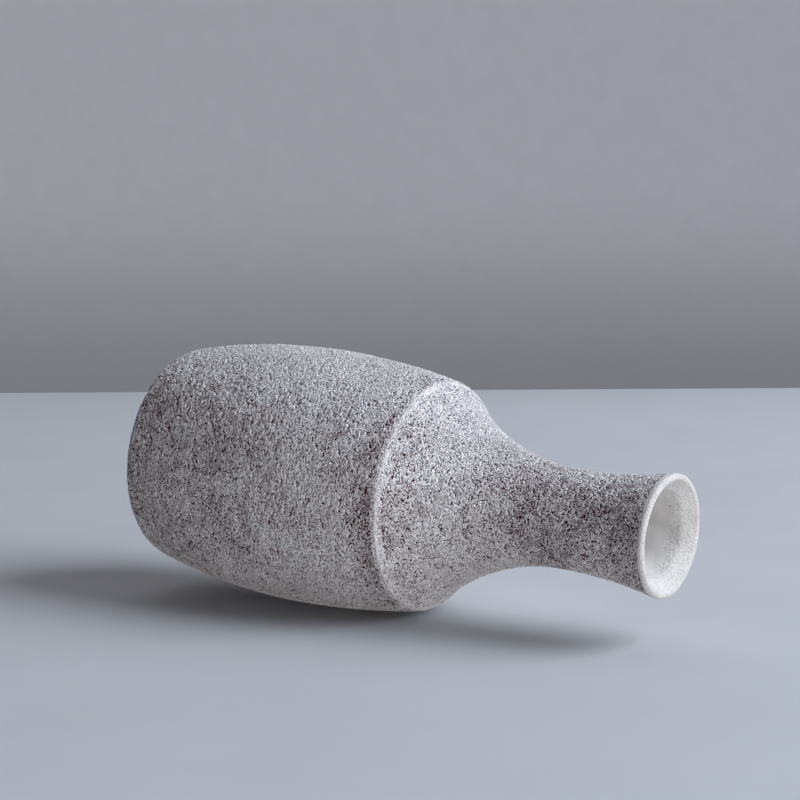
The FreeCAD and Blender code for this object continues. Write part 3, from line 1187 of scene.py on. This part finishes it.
@dataclass
class Glazes:
    """The white glaze over the lip and the liner glaze below it."""

    form: Form
    lip_drop: float = 0.5
    lip_inside: float = 3.0
    bevel_turn: float = 135.0
    bevel_soft: float = 1.0
    ring_step: float = 4.2
    ring_rise: float = 0.10
    wiped_smooth: float = 25.5
    segments: int = 300

    def build(self) -> None:
        """Make and dress lip and liner."""
        top = self.form.lip_top
        lip = SmoothGlaze("lip, satin white glaze", top - 9.0, top + 2.0)
        # Lip and liner are one glaze, but the liner is painted a lighter white: painted light standing
        # in for the light inside the mouth.
        liner = SmoothGlaze("liner, satin white glaze", top - 9.0, top - 0.5, "#d6d2cc", "#c8c4be")
        fit_piece(self.lip(), lip.material(), Slot.GLAZE, "lip_glaze")
        fit_piece(self.liner(), liner.material(), Slot.GLAZE, "liner_glaze")

    def inner_skin(self) -> Skin:
        """The glaze's own surface inside.

        Returns:
            The skin.
        """
        f = self.form
        through = f.coat + f.liner
        return Skin(f, through + f.barrel_wall, through + f.neck_wall, through + f.lip_wall)

    def clay_skin(self) -> Skin:
        """The clay under the glaze inside."""
        f = self.form
        return Skin(f, f.coat + f.barrel_wall, f.coat + f.neck_wall, f.coat + f.lip_wall)

    def bevel(self, skin: Skin, rounding: float) -> Array:
        """Outline points over the lip's rounding and down the bevel to its end inside.

        Args:
            skin: the surface that the bevel runs into.
            rounding: radius of the lip's rounding on this surface.

        Returns:
            The radius and height of each point.
        """
        f = self.form
        over = arc((f.mouth_radius - f.lip_round, f.mouth_height), rounding, 0, self.bevel_turn, 16)
        low, end = f.mouth_height - f.lip_bevel, f.mouth_height - self.lip_inside
        corner = np.array([float(skin.radius(np.array([low]))[0]), low])
        last = np.array([float(skin.radius(np.array([end]))[0]), end])
        down = corner - over[-1]
        turn_in = corner - down / np.linalg.norm(down) * self.bevel_soft
        share = np.linspace(0.0, 1.0, 9)[:, None]
        slope = over[-1] + (turn_in - over[-1]) * share
        soft = (1 - share) ** 2 * turn_in + 2 * share * (1 - share) * corner + share**2 * last
        return joined(over, slope, soft)

    def lip(self) -> Any:
        """Turn the lip glaze: up outside, over the edge, down the bevel and back along the clay.

        Returns:
            The object.
        """
        f = self.form
        edge = f.mouth_height - self.lip_drop
        outer = on_skin(Skin(f), steps(edge, f.mouth_height, 0.15))
        over = self.bevel(self.inner_skin(), f.lip_round)
        under = self.bevel(self.clay_skin(), f.lip_round - f.coat)[::-1]
        clay_out = on_skin(Skin(f, f.coat, f.coat, f.coat), steps(f.mouth_height, edge, 0.25))
        outline = joined(outer, over, under, clay_out)
        outward = outline[:, 0] > f.mouth_radius - f.lip_round
        end = f.mouth_height - self.lip_inside

        def reshape(azimuth: Array, radius: Array, height: Array) -> tuple[Array, Array]:
            """Let the outer edge follow the coat's edge and the rim waver as it was pulled.

            Args:
                azimuth: angle of each point round the axis.
                radius: its radius.
                height: its height.

            Returns:
                The moved radius and height.
            """
            reach = np.clip((f.mouth_height - height) / self.lip_drop, 0.0, 1.0) * outward[:, None]
            moved = height + reach * (lip_edge_shift(azimuth, f.lip_waver) - 0.25)
            swell = 0.06 * wander(azimuth, 8, 7) * np.clip((height - end) / 2.0, 0.0, 1.0)
            return radius + swell, moved + 0.05 * wander(azimuth, 9, 6) * (height > f.mouth_height)

        return turned_mesh("lip_band", outline, np.zeros(len(outline)), self.segments, reshape)

    def liner(self) -> Any:
        """Turn the liner: out along the floor on the clay, up to the lip and back down inside.

        Returns:
            The object.
        """
        f = self.form
        clay, glaze = self.clay_skin(), self.inner_skin()
        top = f.mouth_height - self.lip_inside
        low, glaze_round = f.floor + f.liner, f.floor_round - f.liner
        middle = f.floor + f.floor_round
        clay_edge, _, clay_end = clay.rounding(f.floor, f.floor_round)
        glaze_edge, _, glaze_end = glaze.rounding(low, glaze_round)
        clay_turn = math.degrees(math.asin((clay_end - middle) / f.floor_round))
        glaze_turn = math.degrees(math.asin((glaze_end - middle) / glaze_round))
        bed = joined(
            level(np.array([0.0, clay_edge]), f.floor),
            arc((clay_edge, middle), f.floor_round, -90, clay_turn, 8),
            on_skin(clay, steps(clay_end, top, 2.5)),
        )
        face = joined(
            on_skin(glaze, steps(top, glaze_end, 0.6)),
            arc((glaze_edge, middle), glaze_round, glaze_turn, -90, 12),
            level(steps(glaze_edge, 0.0, 0.6), low),
        )
        outline = np.concatenate([bed, face])
        glazed = np.concatenate([np.zeros(len(bed)), np.ones(len(face))])[:, None]

        def reshape(azimuth: Array, radius: Array, height: Array) -> tuple[Array, Array]:
            """Leave the rings of the throwing in the wall, but for the top that was wiped smooth.

            Args:
                azimuth: angle of each point round the axis.
                radius: its radius.
                height: its height.

            Returns:
                The moved radius and height.
            """
            turn = height / self.ring_step * math.tau - azimuth
            rising = np.clip((height - middle) / 6.0, 0.0, 1.0) * (height < top - self.wiped_smooth)
            return radius + glazed * self.ring_rise * np.cos(turn) * rising, height

        return turned_mesh("liner_skin", outline, np.zeros(len(outline)), self.segments, reshape)


# ---------------------------------------------------------------------------------------------
# Table, light and camera


@dataclass(frozen=True)
class Lying:
    """How the vase lies: on its belly, the mouth towards the viewer and a little lower.

    The table's own directions are right, away from the viewer and up.
    """

    form: Form
    heading: float = 33.10
    mouth_drop: float = 3.20
    upper_side: float = -45.0

    def to_row(self) -> Matrix:
        """The turn from the table's directions (right, away, up) to the vase's frame.

        Returns:
            The turn.
        """
        turn, drop = math.radians(self.heading), math.radians(self.mouth_drop)
        ahead = Vector((math.cos(turn), -math.sin(turn), 0.0))
        up = Vector((0.0, 0.0, 1.0))
        along = ahead * math.cos(drop) - up * math.sin(drop)
        top = ahead * math.sin(drop) + up * math.cos(drop)
        side = along.cross(top)
        up_azimuth = math.radians(self.upper_side)
        axes = Matrix((top, side, along))
        spin = Matrix.Rotation(up_azimuth, 3, "Z")
        return spin @ axes

    def contact(self) -> Vector:
        """Where the belly touches the table.

        Returns:
            The point in the vase's frame, in metres.
        """
        f = self.form
        height = f.belly_height + f.upper_bend * math.sin(math.radians(self.mouth_drop))
        radius = float(Skin(f).radius(np.array([height]))[0])
        up_azimuth = math.radians(self.upper_side)
        return Vector((-radius * math.cos(up_azimuth), -radius * math.sin(up_azimuth), height)) * MM

    def table_point(self, right: float, away: float, up: float) -> Vector:
        """A point measured from the contact along the table's directions.

        Args:
            right: millimetres to the right.
            away: millimetres away from the viewer.
            up: millimetres above the table.

        Returns:
            The point in the vase's frame, in metres.
        """
        return self.contact() + self.to_row() @ (Vector((right, away, up)) * MM)


class Reach(Enum):
    """What a lamp lights."""

    VASE = ("vase",)
    TABLE = ("table",)
    TABLE_AND_VASE = ("table", "vase")
    WALL = ("wall",)
    CEILING = ("ceiling",)


@dataclass(frozen=True)
class Lamp:
    """A round soft lamp, turned to the vase, in millimetres and degrees.

    Its turn is measured from the right towards the wall, and its rise from the table.
    """

    name: str
    reach: Reach
    turn: float
    rise: float
    size: float
    power: float
    colour: tuple[float, float, float]
    distance: float = 1700.0


# The key makes the shadows; the overhead and the window fill them, all but the strip right under
# the belly.  The front fill lights the side that faces the viewer, the top light the upper side,
# and the reflector and the back light the sides that face the table and the wall.
LAMPS = (
    Lamp("key", Reach.TABLE_AND_VASE, -14.0, 34.0, 1500.0, 26.3, (0.89, 1.0, 1.15)),
    Lamp("overhead", Reach.TABLE, 90.0, 62.0, 2000.0, 4.0, (0.97, 1.0, 1.12)),
    Lamp("window", Reach.TABLE_AND_VASE, -60.0, 24.0, 1400.0, 2.6, (1.0, 1.0, 1.12)),
    Lamp("front fill", Reach.VASE, -60.0, 24.0, 1400.0, 8.8, (1.0, 0.99, 1.1)),
    Lamp("top light", Reach.VASE, -10.0, 62.0, 1200.0, 12.0, (0.92, 1.0, 1.13)),
    Lamp("reflector", Reach.VASE, -70.0, -46.0, 1600.0, 10.2, (1.0, 0.99, 1.02)),
    Lamp("back light", Reach.VASE, 120.0, -10.0, 1600.0, 6.0, (0.95, 1.0, 1.1)),
    Lamp("wall light", Reach.WALL, -100.0, 30.0, 1800.0, 28.0, (0.95, 1.0, 1.13)),
    Lamp("ceiling light", Reach.CEILING, 0.0, -80.0, 1800.0, 42.0, (0.95, 1.0, 1.13)),
)


@dataclass(frozen=True)
class Studio:
    """Table, wall, soft lights and camera round the lying vase, in millimetres and degrees."""

    lying: Lying
    table_side: float = 2600.0
    wall_away: float = 439.0
    wall_turn: float = -2.8
    # Height over which the wall's painted shade fades out, and the share of its paint's lightness left
    # at its foot.
    wall_painted_shade_height: float = 95.0
    wall_foot_painted_shade: float = 0.62
    camera_right: float = 14.9
    camera_away: float = -692.5
    camera_up: float = 148.1
    look_down: float = 7.66
    lens: float = 118.76
    sky_strength: float = 0.03

    def build(self) -> None:
        """Make everything round the vase."""
        self.surfaces()
        self.lights()
        self.camera()

    def plain_matte(self, name: str, colour: str, grain: float, depth: float, foot: float = 1.0) -> Any:
        """Make a matte painted surface, seen from its front only, with a faint unevenness.

        Args:
            name: what it is.
            colour: its paint.
            grain: distance between its patches, in millimetres.
            depth: how deep they are.
            foot: how much of its paint's lightness is left where it meets the table; this darkening
            towards the foot is painted shade.

        Returns:
            The material.
        """
        material, tree = new_material(name)
        place = object_place(tree)
        uneven = add_node(tree, Kind.NOISE, {"Vector": place, "Scale": 1 / grain, "Detail": 3.0})
        paint = linear(colour)
        darker = (*(light * 0.97 for light in paint[:3]), 1.0)
        tone = add_node(tree, Kind.RANGE, [uneven, 0.3, 0.7], **SMOOTH)
        body = add_node(tree, Kind.MIX, {0: tone, 6: paint, 7: darker}, 2, **COLOUR)
        # Painted shade: the paint darkens towards the wall's foot, where it meets the table.
        if foot < 1:
            upward = self.lying.to_row() @ Vector((0, 0, 1))
            base = self.lying.contact().dot(upward) / MM
            climb = [place, upward[:]]
            height = add_node(tree, Kind.VECTOR, climb, "Value", operation="DOT_PRODUCT")
            falling = [height, base + self.wall_painted_shade_height, base]
            painted_shade_share = add_node(tree, Kind.RANGE, falling, **SMOOTH)
            painted_shade_paint = (*(light * foot for light in paint[:3]), 1.0)
            body = add_node(tree, Kind.MIX, {0: painted_shade_share, 6: body, 7: painted_shade_paint}, 2, **COLOUR)
        relief = {"Height": uneven, "Strength": 1.0, "Distance": depth * MM}
        finish_surface(
            tree,
            {
                "Roughness": 0.7,
                "Specular IOR Level": 0.15,
                "Base Color": body,
                "Normal": add_node(tree, Kind.BUMP, relief),
            },
            one_sided=True,
        )
        return material

    def plane(self, name: str, corners: tuple[tuple[float, ...], ...], material: Any) -> Any:
        """Lay one flat sheet of the stage through its four corners.

        Args:
            name: its name.
            corners: its corners along the table's directions, anticlockwise as seen from its
                painted side.
            material: its paint.

        Returns:
            The object.
        """
        mesh = bpy.data.meshes.new(name)
        places = [self.lying.table_point(*corner)[:] for corner in corners]
        mesh.from_pydata(places, [], [(0, 1, 2, 3)])
        mesh.materials.append(material)
        sheet = bpy.data.objects.new(name, mesh)
        bpy.context.scene.collection.objects.link(sheet)
        return sheet

    def surfaces(self) -> None:
        """Lay the table under the vase, stand the wall behind it and hang a ceiling over it.

        The ceiling is the pale ground behind the vase where it is looked at from below.  It only
        shows, and throws no light back on the vase.
        """
        half = self.table_side / 2
        lean = math.tan(math.radians(self.wall_turn)) * half
        near, far = self.wall_away + lean, self.wall_away - lean
        table = ((-half, -half, 0), (half, -half, 0), (half, half, 0), (-half, half, 0))
        wall = ((-half, near, 0), (half, far, 0), (half, far, half), (-half, near, half))
        over = (-half, -half, half), (-half, half, half), (half, half, half), (half, -half, half)
        paint = self.plain_matte("painted table", "#e2e2e2", 40.0, 0.02)
        self.plane("table", table, paint)
        plaster = self.plain_matte("painted plaster wall", "#b4b2b1", 9.0, 0.25, self.wall_foot_painted_shade)
        self.plane("wall", wall, plaster)
        white = self.plain_matte("painted ceiling", "#d8d8d8", 40.0, 0.02)
        ceiling = self.plane("ceiling", over, white)
        ceiling.visible_diffuse = False
        ceiling.visible_glossy = False
        ceiling.visible_transmission = False
        ceiling.visible_shadow = False

    def lights(self) -> None:
        """Hang the lamps, with a little pale even light all round."""
        for lamp in LAMPS:
            self.hang(lamp)
        world = bpy.data.worlds.new("pale surround")
        world.use_nodes = True
        sky = world.node_tree.nodes["Background"]
        sky.inputs["Color"].default_value = (1.02, 1.0, 1.15, 1.0)
        sky.inputs["Strength"].default_value = self.sky_strength
        bpy.context.scene.world = world

    def hang(self, lamp: Lamp) -> None:
        """Hang one lamp, turned to the vase.

        Args:
            lamp: where it hangs, how strong it is and what it lights.
        """
        turn, rise = math.radians(lamp.turn), math.radians(lamp.rise)
        flat = math.cos(rise)
        way = Vector((flat * math.cos(turn), flat * math.sin(turn), math.sin(rise)))
        light = bpy.data.lights.new(lamp.name, "AREA")
        light.shape = "DISK"
        light.size = lamp.size * MM
        light.energy = lamp.power
        light.color = lamp.colour
        if lamp.reach is Reach.VASE:
            light.cycles.max_bounces = 0
        made = bpy.data.objects.new(lamp.name, light)
        made.location = self.lying.table_point(*(way * lamp.distance))
        aim = self.lying.contact() - made.location
        made.rotation_euler = aim.to_track_quat("-Z", "Y").to_euler()
        made.visible_camera = False
        bpy.context.scene.collection.objects.link(made)

        group = bpy.data.collections.new("lit by " + lamp.name)
        for piece in bpy.context.scene.objects:
            if piece.type == "MESH" and self.part_of(piece) in lamp.reach.value:
                group.objects.link(piece)
        made.light_linking.receiver_collection = group
        if lamp.reach in (Reach.VASE, Reach.CEILING):
            made.light_linking.blocker_collection = group

    @staticmethod
    def part_of(piece: Any) -> str:
        """Which part of the setting a mesh is: the table, the wall, the ceiling or the vase."""
        return piece.name if piece.name in ("table", "wall", "ceiling") else "vase"

    def camera(self) -> None:
        """Stand the camera over the near side of the table, looking a little down."""
        lens = bpy.data.cameras.new("camera")
        lens.lens = self.lens
        lens.clip_start, lens.clip_end = 0.01, 50.0
        camera = bpy.data.objects.new("camera", lens)
        down = math.radians(self.look_down)
        right = Vector((1, 0, 0))
        back = Vector((0, -math.cos(down), math.sin(down)))
        up = back.cross(right)
        turn = self.lying.to_row() @ Matrix((right, up, back)).transposed()
        place = self.lying.table_point(self.camera_right, self.camera_away, self.camera_up)
        camera.matrix_world = Matrix.Translation(place) @ turn.to_4x4()
        bpy.context.scene.collection.objects.link(camera)
        bpy.context.scene.camera = camera


def main() -> None:
    """Build the vase's pieces and the studio round them."""
    logging.basicConfig(level=logging.INFO, format="%(name)s: %(message)s")
    bpy.context.scene.view_settings.view_transform = "Standard"
    form = Form.of_frame()
    for part in (Clay(form), Coat(form), SlipJoint(form), Glazes(form)):
        part.build()
    Studio(Lying(form)).build()


if __name__ == "__main__":
    main()
